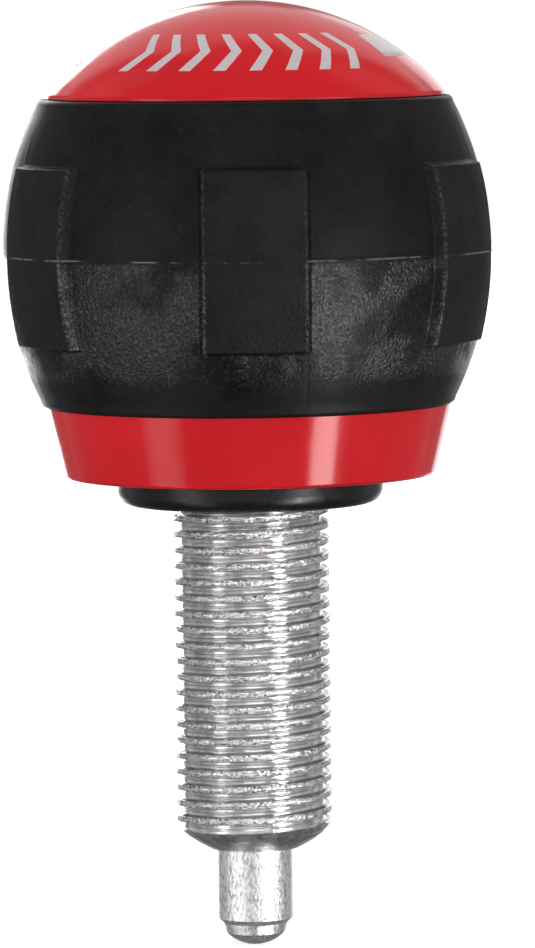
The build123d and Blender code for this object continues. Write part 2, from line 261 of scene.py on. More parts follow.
def blackRubber():
    # Satin rubber with a cloudy bloom. The attribute grain is 1 where the mould was left rough,
    # crown is 1 on the pads, which are grained like leather and coloured lighter as a painted sheen, parting
    # is 1 on the mould's parting line, which gets a painted highlight, and edges is where a painted
    # highlight runs along the pads' edges. In the rough zone the grain's hollows get painted shade and its
    # high points painted glints.
    r = rubber
    material, tree, shader = newMaterial("blackRubber", r["color"], Roughness=r["roughness"])
    here = place(tree)
    grain, crown = readAttribute(tree, "grain"), readAttribute(tree, "crown")
    parting, edges = readAttribute(tree, "parting"), readAttribute(tree, "edges")
    names = ("cloud", "lump", "fine", "leather", "patch", "flash")
    cloud, lumps, fine, leather, patch, flash = (noiseAt(tree, here, *r[name + "Pattern"]) for name in names)
    coarse = product(tree, grain, remap(tree, patch, *r["patchRange"]))
    base = mixColor(tree, remap(tree, cloud, *r["bloomRange"]), r["dark"], r["bloom"])
    # Painted sheen on the pads, painted shade in the grain's hollows, painted glints on its high points,
    # painted highlights along the pads' edges and the parting line
    layers = (
        (crown, cloud, "crown"), (coarse, fine, "hollow"), (coarse, fine, "dot"),
        (edges, fine, "edge"), (parting, flash, "flash"),
    )
    for share, pattern, name in layers:
        shown = product(tree, share, remap(tree, pattern, *r[name + "Range"]))
        base = mixColor(tree, shown, base, r[name + "Color"])
    shine = remap(tree, coarse, *r["specularRange"])
    satin = remap(tree, cloud, *r["satinRange"])
    roughness = calc(tree, "SUBTRACT", satin, product(tree, coarse, r["coarseGloss"]))
    relief = addBump(tree, lumps, *r["lumpRelief"])
    relief = addBump(tree, leather, r["leatherDepth"], crown, relief)
    relief = addBump(tree, fine, r["grainDepth"], remap(tree, coarse, *r["grainRange"]), relief)
    connect(tree, shader, Base_Color=base, Specular_IOR_Level=shine, Roughness=roughness, Normal=relief)
    return material


nylon = {
    "color": (0.010, 0.010, 0.011),
    "dark": (0.008, 0.008, 0.009),
    "light": (0.014, 0.014, 0.015),
    "colorPattern": (0.4, 2),
    "specular": 0.35,
    "roughness": 0.3,
    "glossPattern": (0.9, 4),
    "glossRange": (0.3, 0.7, 0.22, 0.38),
    "skinPattern": (3, 3),
    "skinRelief": (0.01 * mm, 0.6),
}


def blackNylon():
    n = nylon
    values = {"Roughness": n["roughness"], "Specular_IOR_Level": n["specular"]}
    material, tree, shader = newMaterial("blackNylon", n["color"], **values)
    here = place(tree)
    gloss = remap(tree, noiseAt(tree, here, *n["glossPattern"]), *n["glossRange"])
    base = mixColor(tree, noiseAt(tree, here, *n["colorPattern"]), n["dark"], n["light"])
    skin = addBump(tree, noiseAt(tree, here, *n["skinPattern"]), *n["skinRelief"])
    connect(tree, shader, Base_Color=base, Roughness=gloss, Normal=skin)
    return material


zinc = {
    "color": (0.82, 0.82, 0.83),
    "metallic": 0.85,
    "roughness": 0.2,
    "bright": (1.0, 1.0, 1.0),
    "tornRange": (0.84, 0.98, 0, 1),     # of the crest attribute, as are the next two
    # painted shade on the flanks, between root and crest
    "flankFrom": (0.10, 0.30, 0, 0.8),
    "flankTo": (0.62, 0.86, 1, 0),
    "flankShadeColor": (0.18, 0.18, 0.185),
    "paintedShadeRange": (0.45, 0.9, 0, 1),    # of the attribute that paints shade into the root's lines and onto the nose
    "paintedShadePatches": (0.40, 0.56, 0.0, 0.75),
    "blotchPattern": (0.8, 5, 0.65),
    "blotchRange": (0.52, 0.75, 0, 0.3),
    "blotchColor": (0.42, 0.42, 0.43),
    "speckStretch": (1, 1, 1.8),
    "speckPattern": (3.6, 3, 0.7),
    "speckRange": (0.45, 0.51, 1, 0),
    "speckColor": (0.07, 0.07, 0.075),
    "speckDepth": 0.30 * mm,
    "streakStretch": (0.30, 0.30, 5),
    "streakPattern": (1, 3, 0.6),
    "streakRange": (0.34, 0.44, 0.4, 0),
    "streakColor": (0.30, 0.30, 0.31),
    "streakRelief": (0.02 * mm, 0.7),
    "glossPattern": (3.5, 4, 0.6),
    "glossRange": (0.3, 0.7, 0.09, 0.22),
    "skinPattern": (1.4, 3, 0.6),
    "skinRelief": (0.05 * mm, 0.8),
}


def zincPlate():
    # Bright zinc: smooth roots with fine lines of painted shade, painted shade on the flanks, and torn,
    # specked crests.
    # On the thread, the attribute crest runs from 0 in the root to 1 on the crests, and the second attribute
    # is 1 along the lines in the root and 0.75 on the nose, where it paints shade.
    z = zinc
    values = {"Metallic": z["metallic"], "Roughness": z["roughness"]}
    material, tree, shader = newMaterial("zincPlate", z["color"], **values)
    here = place(tree)
    crest, paintedShade = readAttribute(tree, "crest"), readAttribute(tree, "paintedShade")
    torn = remap(tree, crest, *z["tornRange"])
    blotch = noiseAt(tree, here, *z["blotchPattern"])
    specks = noiseAt(tree, place(tree, z["speckStretch"]), *z["speckPattern"])
    streak = noiseAt(tree, place(tree, z["streakStretch"]), *z["streakPattern"])
    onFlank = product(tree, remap(tree, crest, *z["flankFrom"]), remap(tree, crest, *z["flankTo"]))
    inRoot = product(tree, remap(tree, paintedShade, *z["paintedShadeRange"]), remap(tree, blotch, *z["paintedShadePatches"]))
    # Painted shade on the flanks, in the root's fine lines and on the nose.
    base = mixColor(tree, calc(tree, "MAXIMUM", onFlank, inRoot), z["bright"], z["flankShadeColor"])
    base = mixColor(tree, remap(tree, streak, *z["streakRange"]), base, z["streakColor"])
    base = mixColor(tree, product(tree, torn, remap(tree, specks, *z["speckRange"])), base, z["speckColor"])
    base = mixColor(tree, remap(tree, blotch, *z["blotchRange"]), base, z["blotchColor"])
    gloss = remap(tree, noiseAt(tree, here, *z["glossPattern"]), *z["glossRange"])
    relief = addBump(tree, noiseAt(tree, here, *z["skinPattern"]), *z["skinRelief"])
    relief = addBump(tree, specks, z["speckDepth"], torn, relief)
    relief = addBump(tree, streak, *z["streakRelief"], relief)
    connect(tree, shader, Base_Color=base, Roughness=gloss, Normal=relief)
    return material


steel = {
    "ringStretch": (0.15, 0.15, 9),
    "ringPattern": (1, 3, 0.6),
    "ringRelief": (0.004 * mm, 0.8),
    "markStretch": (1, 1, 0.55),
    "markPattern": (3.2, 4, 0.65),
    "markRange": (0.40, 0.52, 0, 1),
    "markRelief": (0.12 * mm, 0.8),
    "dullness": 0.55,
    "wearRange": (0.35, 0.65),
}


def groundSteel(name, color, low, high, metallic):
    # Turned and polished: fine rings round the axis, mottled by handling. Low and high are its roughness.
    s = steel
    material, tree, shader = newMaterial(name, color, Metallic=metallic, Roughness=(low + high) / 2)
    rings = noiseAt(tree, place(tree, s["ringStretch"]), *s["ringPattern"])
    marks = noiseAt(tree, place(tree, s["markStretch"]), *s["markPattern"])
    worn = calc(tree, "ADD", product(tree, rings, 0.5), product(tree, marks, 0.5))
    dull = tuple(c * s["dullness"] for c in color)
    base = mixColor(tree, remap(tree, marks, *s["markRange"]), dull, color)
    relief = addBump(tree, marks, *s["markRelief"])
    relief = addBump(tree, rings, *s["ringRelief"], relief)
    gloss = remap(tree, worn, *s["wearRange"], low, high)
    connect(tree, shader, Base_Color=base, Roughness=gloss, Normal=relief)
    return material


ink = {
    "color": (0.72, 0.62, 0.64),
    "thin": (0.66, 0.56, 0.58),
    "thick": (0.78, 0.70, 0.72),
    "colorPattern": (1.2, 4),
    "roughness": 0.32,
    "skinPattern": (6, 2),
    "skinRelief": (0.004 * mm, 0.5),
}


def printInk():
    i = ink
    material, tree, shader = newMaterial("printInk", i["color"], Roughness=i["roughness"])
    here = place(tree)
    base = mixColor(tree, noiseAt(tree, here, *i["colorPattern"]), i["thin"], i["thick"])
    skin = addBump(tree, noiseAt(tree, here, *i["skinPattern"]), *i["skinRelief"])
    connect(tree, shader, Base_Color=base, Normal=skin)
    return material


finishes = {
    "red": redPlastic(),
    "rubber": blackRubber(),
    "nylon": blackNylon(),
    "zinc": zincPlate(),
    "pin": groundSteel("pinSteel", (0.98, 0.98, 0.98), low=0.07, high=0.20, metallic=0.72),
    "wire": groundSteel("springWire", (0.55, 0.55, 0.57), low=0.18, high=0.35, metallic=1.0),
    "ink": printInk(),
}
print("materials made")


# Studio: a white backdrop for the camera, and a dim room with lit panels for what shines

studio = {
    "fillAbove": 0.60,           # light of the room on matt surfaces
    "fillBelow": 1.66,
    "fillFade": (-0.5, 0.5),     # fades are on the unit sphere, up or towards the back
    "frontGlow": 0.60,           # what shiny surfaces see of the room
    "sideGlow": 0.28,
    "backGlow": 0.24,
    "topGlow": 0.24,
    "belowGlow": 0.08,
    "frontFade": (-0.6, 0.0),
    "backFade": (0.2, 0.6),
    "topFade": (0.25, 0.55),
    "belowFade": (-0.40, -0.62),
    "leastFlat": 0.0001,         # keeps the division sound straight above and below
    "panels": {                  # azimuth from the camera's side, half width, low, high, soft edge, glow
        "leftBox": (-55, 6, -55, 5, 8, 1.9),
        "rightBox": (50, 6, -55, 5, 8, 1.5),
        "rightReflector": (48, 6, -42, -9, 3, 11.5),
        "leftStrip": (-126, 8, -14, 60, 4, 0.2),
        "rightStrip": (126, 8, -14, 60, 4, 0.2),
        "leftRim": (-167, 8, -15, 20, 3, 5.0),
        "rightRim": (166, 7, -15, 20, 3, 1.2),
        "backPanel": (180, 30, 25, 61, 6, 0.72),
    },
    "key": (3, 20, 0.9, 0.5, 1.0),   # azimuth, elevation, distance, width, radiance
    "floorRadius": 1.5,
    "floorSides": 96,
    "paperColor": (0.75, 0.75, 0.75),
    "paperFade": (0.08, 0.20),   # metres from the pin's foot outwards
    "paperNear": 0.62,           # the paper's own light there, and 1 past it
}


def whiteFloor():
    # White paper: its own light for the camera, and a thin veil of the object's shadow round the pin.
    # Reflections pass it and see the studio.
    material = bpy.data.materials.new("whiteFloor")
    material.use_nodes = True
    tree = material.node_tree
    tree.nodes.clear()
    path = addNode(tree, "ShaderNodeLightPath").outputs
    spot = addNode(tree, "ShaderNodeTexCoord").outputs["Object"]
    away = addNode(tree, "ShaderNodeVectorMath", {0: spot}, operation="LENGTH").outputs["Value"]
    far = remap(tree, away, *studio["paperFade"], 0.0, 1.0)
    strength = product(tree, path["Is Camera Ray"], remap(tree, far, 0, 1, studio["paperNear"], 1.0))
    glow = addNode(tree, "ShaderNodeEmission", {"Color": (1, 1, 1, 1), "Strength": strength}).outputs[0]
    paper = addNode(tree, "ShaderNodeBsdfDiffuse", {"Color": (*studio["paperColor"], 1)}).outputs[0]
    both = addNode(tree, "ShaderNodeAddShader", {0: glow, 1: paper}).outputs[0]
    clear = addNode(tree, "ShaderNodeBsdfTransparent").outputs[0]
    back = addNode(tree, "ShaderNodeNewGeometry").outputs["Backfacing"]
    shiny = calc(tree, "MAXIMUM", path["Is Glossy Ray"], path["Is Transmission Ray"])
    passing = calc(tree, "MAXIMUM", back, shiny)
    result = addNode(tree, "ShaderNodeMixShader", {0: passing, 1: both, 2: clear}).outputs[0]
    addNode(tree, "ShaderNodeOutputMaterial", {"Surface": result})
    return material


def addKey():
    azimuth, elevation, distance, width, radiance = studio["key"]
    data = bpy.data.lights.new("key", "AREA")
    data.size = width
    data.energy = radiance * pi * width * width
    a, e = radians(azimuth + camera["turned"]), radians(elevation)
    lamp = bpy.data.objects.new("key", data)
    scene.collection.objects.link(lamp)
    away = Vector((sin(a) * cos(e), -cos(a) * cos(e), sin(e)))
    lamp.location = away * distance
    lamp.rotation_mode = "QUATERNION"
    lamp.rotation_quaternion = away.to_track_quat("Z", "Y")


def addPanel(tree, axes, flat, azimuth, half, low, high, edge, glow):
    # The light of one panel in the direction that is looked at.
    a = radians(azimuth + camera["turned"])
    along = calc(tree, "SUBTRACT", product(tree, axes["X"], sin(a)), product(tree, axes["Y"], cos(a)))
    turned = calc(tree, "DIVIDE", along, flat)
    across = remap(tree, turned, cos(radians(half + edge)), cos(radians(half)), 0, 1)
    above = remap(tree, axes["Z"], sin(radians(low - edge)), sin(radians(low)), 0, 1)
    below = remap(tree, axes["Z"], sin(radians(high)), sin(radians(high + edge)), 1, 0)
    return product(tree, product(tree, across, glow), product(tree, above, below))


def addWorld():
    s = studio
    world = bpy.data.worlds.new("studio")
    world.use_nodes = True
    scene.world = world
    tree = world.node_tree
    tree.nodes.clear()
    direction = addNode(tree, "ShaderNodeTexCoord").outputs["Generated"]
    axes = addNode(tree, "ShaderNodeSeparateXYZ", {0: direction}).outputs
    level = remainder(tree, product(tree, axes["Z"], axes["Z"]))
    flat = calc(tree, "SQRT", calc(tree, "MAXIMUM", level, s["leastFlat"]))
    toBack = calc(tree, "DIVIDE", axes["Y"], flat)
    room = remap(tree, toBack, *s["frontFade"], s["frontGlow"], s["sideGlow"])
    room = calc(tree, "ADD", room, remap(tree, toBack, *s["backFade"], 0, s["backGlow"] - s["sideGlow"]))
    for end in ("top", "below"):
        share = remap(tree, axes["Z"], *s[end + "Fade"], 0, 1)
        glow = mixColor(tree, share, (0, 0, 0), (s[end + "Glow"],) * 3)
        room = calc(tree, "ADD", product(tree, room, remainder(tree, share)), glow)
    for panel in s["panels"].values():
        room = calc(tree, "ADD", room, addPanel(tree, axes, flat, *panel))
    path = addNode(tree, "ShaderNodeLightPath").outputs
    shiny = calc(tree, "MAXIMUM", path["Is Glossy Ray"], path["Is Transmission Ray"])
    fill = remap(tree, axes["Z"], *s["fillFade"], s["fillBelow"], s["fillAbove"])
    seen = calc(tree, "ADD", product(tree, shiny, room), product(tree, remainder(tree, shiny), fill))
    toCamera = path["Is Camera Ray"]
    light = calc(tree, "ADD", product(tree, seen, remainder(tree, toCamera)), toCamera)
    background = addNode(tree, "ShaderNodeBackground", {"Color": light, "Strength": 1.0})
    addNode(tree, "ShaderNodeOutputWorld", {"Surface": background.outputs[0]})


def addFloor():
    bm = bmesh.new()
    foot = Matrix.Translation((0, 0, cadBox[0].z))
    sides, radius = studio["floorSides"], studio["floorRadius"]
    bmesh.ops.create_circle(bm, cap_ends=True, segments=sides, radius=radius, matrix=foot)
    mesh = bpy.data.meshes.new("floor")
    bm.to_mesh(mesh)
    bm.free()
    mesh.materials.append(whiteFloor())
    floorPiece = bpy.data.objects.new("floor", mesh)
    scene.collection.objects.link(floorPiece)


addWorld()
addFloor()
addKey()
print("studio lit")


# Piece helpers

weldDistance = 0.0005 * mm
cutSlack = 1e-7


def everything(bm):
    return bm.verts[:] + bm.edges[:] + bm.faces[:]


def onlyVerts(made):
    return [g for g in made if isinstance(g, bmesh.types.BMVert)]


def onlyEdges(made):
    return [g for g in made if isinstance(g, bmesh.types.BMEdge)]


def openEdges(bm):
    return [e for e in bm.edges if e.is_boundary]


def finishPiece(name, bm, finish, body, replaced=(), sharp=35):
    bmesh.ops.remove_doubles(bm, verts=bm.verts, dist=weldDistance)
    bmesh.ops.recalc_face_normals(bm, faces=bm.faces)
    mesh = bpy.data.meshes.new(name)
    bm.to_mesh(mesh)
    bm.free()
    for polygon in mesh.polygons:
        polygon.use_smooth = True
    mesh.set_sharp_from_angle(angle=radians(sharp))
    mesh.materials.append(finishes[finish])
    piece = bpy.data.objects.new(name, mesh)
    scene.collection.objects.link(piece)
    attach(piece, body)
    if replaced:
        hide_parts(*replaced)
    return piece


def addProfile(bm, points):
    # A chain of edges in the XZ plane, from (radius, height) in millimetres.
    verts = [bm.verts.new((r * mm, 0, z * mm)) for r, z in points]
    for a, b in zip(verts, verts[1:]):
        bm.edges.new((a, b))
    return verts


def spinRound(bm, steps, climb=0.0):
    # Turns all that is in bm once about the axis, climbing so many millimetres.
    bmesh.ops.spin(bm, geom=bm.verts[:] + bm.edges[:], cent=(0, 0, 0), axis=(0, 0, 1),
                   dvec=(0, 0, climb * mm / steps), angle=2 * pi, steps=steps,
                   use_merge=climb == 0.0, use_duplicate=False)


def cutLevel(bm, z, side):
    # Cuts away what is above (side 1) or below (side -1) a height in millimetres.
    bmesh.ops.bisect_plane(bm, geom=everything(bm), dist=cutSlack, plane_co=(0, 0, z * mm),
                           plane_no=(0, 0, side), clear_outer=True)


def within(value, low, high):
    return min(max(value, low), high)


def eased(t):
    t = within(t, 0.0, 1.0)
    return t * t * (3 - 2 * t)


def noiseIn(spot, scale, shift=(0, 0, 0)):
    # Noise at a spot in millimetres, of so many cycles a millimetre along each axis.
    return noise.noise(Vector([p * s + d for p, s, d in zip(spot, scale, shift)]))


# Threaded sleeve

thread = {
    "majorRadius": 8.0,
    "pitch": 1.6,
    "depth": 0.85,
    "crestFlat": 0.34,           # in pitches, as is the next
    "rootFlat": 0.32,
    "rootLine": 0.05,            # height of the fine lines in the root
    "crestEdge": (0.06, 0.04),   # rounding of the crest's edges, on the radius and along the axis
    "crestFold": 0.07,           # depth of the fold that rolling leaves along the crest
    "steps": 190,
    "weld": 0.001,               # joins the turns
    "rimSlack": 0.01,            # what lies this close to a cut belongs to its rim
    "unevenness": 0.03,          # of the rolled thread
    "unevenScale": (0.9, 0.9, 1.3),
    "unevenInward": 0.6,
    "sway": 0.045,               # up and down
    "swayScale": (0.7, 0.7, 0.5),
    "swayShift": (9, 0, 0),
    "torn": 0.06,                # roughness of the crests
    "tornScale": (2.6, 2.6, 3.5),
    "tornInward": 0.3,
    "tornSwayScale": (1.9, 1.9, 2),
    "tornSwayShift": (0, 5, 0),
    "clearance": 0.005,          # inside the crest's nominal radius
    "leastRadius": 3.0,
    "noseTop": -32.3,
    "noseEnd": -35.0,
    "noseEndRadius": 4.60,
    "noseTopRadius": 8.0,
    "noseBulge": 0.56,           # on the radius, at mid height
    "noseSkin": 0.03,            # what lies this close to the nose belongs to it
    "noseShade": 0.75,          # painted shade on the nose, how dark it is
    "boreRadius": 4.13,
    "boreChamfer": 0.15,
    "chamberRadius": 5.70,
    "chamberFloor": -24.0,
    "neckRadius": 7.5,
    "neckTop": 13.2,
    "flatsFrom": 2.0,            # two flats on the neck
    "flatsReach": 6.9,
    "flatsStep": 0.01,
    "sharpFrom": 40,             # degrees
}


def noseRadius(z):
    # Of the rounded nose at this height, and past it of what encloses the thread.
    t = thread
    if z >= t["noseTop"]:
        return t["majorRadius"]
    rise = (z - t["noseEnd"]) / (t["noseTop"] - t["noseEnd"])
    straight = t["noseEndRadius"] + (t["noseTopRadius"] - t["noseEndRadius"]) * rise
    return straight + 4 * t["noseBulge"] * max(rise, 0) * (1 - rise)


def threadProfile():
    # One pitch of the thread, from root to root, as (radius, height).
    t = thread
    p, top, bottom = t["pitch"], t["majorRadius"], t["majorRadius"] - t["depth"]
    half, root, line = t["crestFlat"] * p / 2, t["rootFlat"] * p / 2, t["rootLine"]
    edgeDrop, edgeLength = t["crestEdge"]
    rise = [
        (bottom, 0.0), (bottom + line, root / 3), (bottom, root * 2 / 3), (bottom + line / 2, root),
        (top - edgeDrop, p / 2 - half - edgeLength), (top, p / 2 - half),
        (top - t["crestFold"] / 3, p / 2 - half / 2), (top - t["crestFold"], p / 2),
    ]
    return rise + [(r, p - z) for r, z in reversed(rise[:-1])]


def sleeveInside():
    # From the nose up through the bore and back down the neck, as (radius, height).
    t = thread
    bore, chamber, neck = t["boreRadius"], t["chamberRadius"], t["neckRadius"]
    return [
        (bore + t["boreChamfer"], t["noseEnd"]), (bore, t["noseEnd"] + t["boreChamfer"]),
        (bore, t["chamberFloor"]), (chamber, t["chamberFloor"]), (chamber, t["neckTop"]),
        (neck, t["neckTop"]), (neck, t["flatsFrom"]), (neck, t["flatsFrom"] - t["flatsStep"]), (neck, 0.0),
    ]


def wearThread(bm):
    # Uneven as rolled, with torn crests, and cut down to the nose.
    t = thread
    top, bottom = t["majorRadius"], t["majorRadius"] - t["depth"]
    for v in bm.verts:
        spot = v.co / mm
        radius = hypot(spot.x, spot.y)
        onCrest = eased((radius - bottom) / t["depth"] * 2 - 1)
        wobble = t["unevenness"] * (noiseIn(spot, t["unevenScale"]) - t["unevenInward"])
        wobble += t["torn"] * onCrest * (noiseIn(spot, t["tornScale"]) - t["tornInward"])
        radius = min(radius + wobble, top - t["clearance"])
        spot.z += t["sway"] * noiseIn(spot, t["swayScale"], t["swayShift"])
        spot.z += t["torn"] * onCrest * noiseIn(spot, t["tornSwayScale"], t["tornSwayShift"])
        radius = max(min(radius, noseRadius(spot.z)), t["leastRadius"])
        around = atan2(spot.y, spot.x)
        v.co = Vector((radius * cos(around), radius * sin(around), spot.z)) * mm


def threadedSleeve():
    t = thread
    p, bottom = t["pitch"], t["majorRadius"] - t["depth"]
    start = t["noseEnd"] - 2 * p
    bm = bmesh.new()
    paintedShade = bm.verts.layers.float.new("paintedShade")
    profile = threadProfile()
    # Painted shade goes on the root's lowest points, between its fine ridges.
    for v, (r, z) in zip(addProfile(bm, [(r, start + z) for r, z in profile]), profile):
        v[paintedShade] = 1.0 if r == bottom else 0.0
    spinRound(bm, t["steps"], p)
    turn = everything(bm)
    for i in range(1, ceil((3 * p - t["noseEnd"]) / p) + 1):
        made = bmesh.ops.duplicate(bm, geom=turn)["geom"]
        bmesh.ops.translate(bm, verts=onlyVerts(made), vec=(0, 0, i * p * mm))
    bmesh.ops.remove_doubles(bm, verts=bm.verts, dist=t["weld"] * mm)
    wearThread(bm)
    cutLevel(bm, 0.0, 1)
    cutLevel(bm, t["noseEnd"], -1)
    crest = bm.verts.layers.float.new("crest")
    for v in bm.verts:
        radius, z = hypot(v.co.x, v.co.y) / mm, v.co.z / mm
        onNose = z < t["noseTop"] and noseRadius(z) - radius < t["noseSkin"]
        v[crest] = 0.0 if onNose else within((radius - bottom) / t["depth"], 0.0, 1.0)
        # The nose gets painted shade through the second attribute.
        v[paintedShade] = t["noseShade"] if onNose else v[paintedShade]
    rim, topRim = (
        [e for e in openEdges(bm) if all(abs(v.co.z / mm - level) < t["rimSlack"] for v in e.verts)]
        for level in (t["noseEnd"], 0.0)
    )
    reach = t["flatsReach"] * mm
    for radius, z in sleeveInside():
        made = bmesh.ops.extrude_edge_only(bm, edges=rim)["geom"]
        rim = onlyEdges(made)
        for v in onlyVerts(made):
            out = Vector((v.co.x, v.co.y, 0)).normalized() * radius * mm
            if radius == t["neckRadius"] and z >= t["flatsFrom"]:
                out.x = within(out.x, -reach, reach)
            v.co = out + Vector((0, 0, z * mm))
            v[crest] = v[paintedShade] = 0.0
    bmesh.ops.bridge_loops(bm, edges=rim + topRim)
    finishPiece("threadedSleeve", bm, "zinc", "sleeve", ["threaded_sleeve"], t["sharpFrom"])


threadedSleeve()
print("thread cut")


# Plunger spring

spring = {
    "wire": 1.1,
    "meanRadius": 4.95,
    "low": -21.5,
    "high": 8.2,
    "activeCoils": 6,
    "endPitch": 1.19,
    "groundOff": 0.4,
    "steps": 28,
    "sides": 12,
}


def plungerSpring():
    s = spring
    first = s["low"] + s["wire"] / 2 - s["groundOff"]
    last = s["high"] - s["wire"] / 2 + s["groundOff"]
    pitch = (last - first - 2 * s["endPitch"]) / s["activeCoils"]
    upright = Matrix.Translation((s["meanRadius"] * mm, 0, first * mm)) @ Matrix.Rotation(pi / 2, 4, "X")
    bm = bmesh.new()
    bmesh.ops.create_circle(bm, segments=s["sides"], radius=s["wire"] / 2 * mm, matrix=upright)
    ring = bm.edges[:]
    for turns, climb in ((1, s["endPitch"]), (s["activeCoils"], pitch), (1, s["endPitch"])):
        made = bmesh.ops.spin(bm, geom=ring, cent=(0, 0, 0), axis=(0, 0, 1),
                              dvec=(0, 0, climb * mm / s["steps"]), angle=2 * pi * turns,
                              steps=s["steps"] * turns, use_merge=False, use_duplicate=False)["geom_last"]
        ring = onlyEdges(made)
    bmesh.ops.holes_fill(bm, edges=openEdges(bm), sides=s["sides"])
    for z, side in ((s["low"], -1), (s["high"], 1)):
        cutLevel(bm, z, side)
        bmesh.ops.holes_fill(bm, edges=openEdges(bm), sides=0)
    piece = finishPiece("plungerSpring", bm, "wire", "sleeve", ["plunger_spring"])
    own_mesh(piece)


plungerSpring()
print("spring wound")


# Grip sleeve

grip = {
    "low": 10.0,
    "high": 40.9,
    "widest": 24.45,
    "arcRadius": 33.0,
    "boreRadius": 18.31,
    "edgeRound": 0.6,
    "edgeAngles": (0, 20, 40, 60, 78),
    "padCount": 6,
    "padHeight": 1.0,
    "padLength": 18.2,
    "padWidth": 11.0,            # at the foot
    "slopeWidth": 0.7,
    "endWidth": 0.28,
    "crownEase": 0.55,           # how much of a pad's rise is eased, the rest is straight
    "grainFrom": 11.8,           # the mould's rough zone ends here, and fades over the next
    "grainFade": 3.0,
    "grainLeast": 0.12,
    "slopeGrain": (0.35, 0.6),   # above the parting line, and what is added below it
    "edgeGlintAt": 0.92,            # place and half width of the painted highlight along the pads' edges, in slope widths
    "edgeGlintWidth": 0.35,
    "edgeGlintAbove": 0.35,         # share of it above the parting line
    "edgeGlintPast": 0.5,           # how far it runs past a pad's end, and its fade, in end widths
    "edgeGlintFade": 0.8,
    "partingRidge": 0.07,
    "partingWidth": 0.11,
    "mouldStep": 0.03,           # the upper half of the mould stands this much prouder
    "mouldStepWidth": 0.1,
    "lowerFade": 0.4,            # from the parting line down into the rough zone
    "plainEnd": 0.7,             # nothing is uneven this close to the ends
    "waviness": 0.03,
    "waveScale": 0.28,
    "rings": 30,
    "ringGap": 0.45,             # least distance to the rings at a pad's end or the parting line
    "endRings": (-0.9, -0.55, -0.42, -0.32, -0.24, -0.16, -0.09, -0.03, 0.03, 0.2),
    "partingRings": (-0.5, -0.16, -0.1, -0.05, 0, 0.03, 0.08, 0.14, 0.5),
    "columns": 50,               # to a pad and its valley
    "slopeMargins": (0.4, 0.03),     # columns this far outside a slope's foot and crown
    "columnShares": (0.0, 0.16, 0.24, 0.66, 0.76),   # of them, from a pad's middle to those places
    "outerFrom": 1.0,            # what stands this far outside the bore is the outer skin
    "sharpFrom": 60,             # degrees
}


def gripRadius(z):
    middle = (grip["low"] + grip["high"]) / 2
    return grip["widest"] - grip["arcRadius"] + sqrt(grip["arcRadius"] ** 2 - (z - middle) ** 2)


def gripHeights():
    # Heights of the rings: close together at the pads' ends and at the parting line.
    g = grip
    middle, end = (g["low"] + g["high"]) / 2, g["padLength"] / 2
    fine = [middle + side * (end + d) for side in (-1, 1) for d in g["endRings"]]
    fine += [middle + d for d in g["partingRings"]]
    low, high = g["low"] + g["edgeRound"], g["high"] - g["edgeRound"]
    coarse = [low + (high - low) * i / g["rings"] for i in range(g["rings"] + 1)]
    kept = [z for z in coarse if all(abs(z - f) > g["ringGap"] for f in fine)]
    return sorted(fine + kept)


def padSpread(share, radius):
    # Spreads evenly spaced columns of one sixth of a turn so that the pad's sloped sides get most.
    g = grip
    foot = g["padWidth"] / 2
    crown = foot - g["slopeWidth"]
    far, near = g["slopeMargins"]
    stops = list(zip(g["columnShares"], (0.0, crown - far, crown - near, foot + near, foot + far)))
    side, share = (1, share) if share >= 0 else (-1, -share)
    for (s0, d0), (s1, d1) in zip(stops, stops[1:]):
        if share <= s1:
            return side * degrees(asin((d0 + (d1 - d0) * (share - s0) / (s1 - s0)) / radius))
    last, edge = stops[-1]
    edge = degrees(asin(edge / radius))
    return side * (edge + (180 / g["padCount"] - edge) * (share - last) / (1 - last))


def gripOutline():
    # From the bore out round the lower edge, up the barrel and back in, as (radius, height).
    g = grip
    curve = g["edgeRound"]
    turnedIn = [(curve * (1 - sin(radians(a))), curve * (1 - cos(radians(a)))) for a in g["edgeAngles"]]
    lowEdge, highEdge = gripRadius(g["low"] + curve), gripRadius(g["high"] - curve)
    outline = [(g["boreRadius"], g["low"])]
    outline += [(lowEdge - inward, g["low"] + up) for inward, up in turnedIn]
    outline += [(gripRadius(z), z) for z in gripHeights()]
    outline += [(highEdge - inward, g["high"] - down) for inward, down in reversed(turnedIn)]
    return outline + [(g["boreRadius"], g["high"])]


